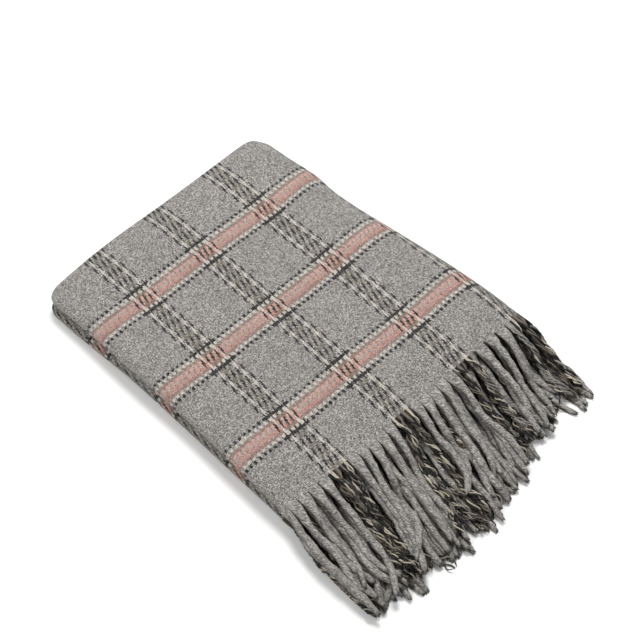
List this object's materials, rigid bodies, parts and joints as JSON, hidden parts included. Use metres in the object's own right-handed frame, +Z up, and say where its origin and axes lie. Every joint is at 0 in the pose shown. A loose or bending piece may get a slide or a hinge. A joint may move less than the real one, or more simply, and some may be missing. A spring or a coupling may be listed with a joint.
{
  "type": "folded throw blanket",
  "caption": "Soft woven plaid throw blanket with tasselled fringe ends, folded into a neat flat rectangular stack that opens like a book.",
  "frame": {"origin": "bottom centre of the bounding box of the folded stack with its fringe, on the surface that it lies on", "axes": "+X across the cloth towards the spine, +Y from the fringe to the far fold, +Z up"},
  "size_m": [0.332, 0.545, 0.0383],
  "materials": {
    "woven_cloth": "brushed two by two twill, soft matt nap",
    "fringe_grey": "twisted yarn, matt and fuzzy",
    "fringe_dark": "twisted yarn in black, cream and grey, matt"
  },
  "bodies": {
    "lower_half": {"lower_outer_leaf": "woven_cloth", "lower_inner_flap": "woven_cloth", "lower_side_crease": "woven_cloth", "lower_spine": "woven_cloth", "lower_leaf_fringe_end_a": "fringe_grey", "lower_leaf_fringe_end_b": "fringe_dark", "lower_flap_fringe_end_a": "fringe_grey", "lower_flap_fringe_end_b": "fringe_dark", "lower_crease_fringe": "fringe_grey", "lower_spine_fringe": "fringe_grey"},
    "upper_half": {"upper_outer_leaf": "woven_cloth", "upper_inner_flap": "woven_cloth", "upper_side_crease": "woven_cloth", "upper_spine": "woven_cloth", "upper_flap_fringe_end_a": "fringe_grey", "upper_flap_fringe_end_b": "fringe_dark", "upper_leaf_fringe_end_a": "fringe_grey", "upper_leaf_fringe_end_b": "fringe_dark", "upper_crease_fringe": "fringe_grey", "upper_spine_fringe": "fringe_grey"}
  },
  "joints": [
    {"name": "book_fold", "type": "hinge", "parent": "lower_half", "child": "upper_half", "pos_m": [0.16615, 0, 0.01915], "axis": [0, 1, 0], "range_deg": [0, 180]}
  ]
}
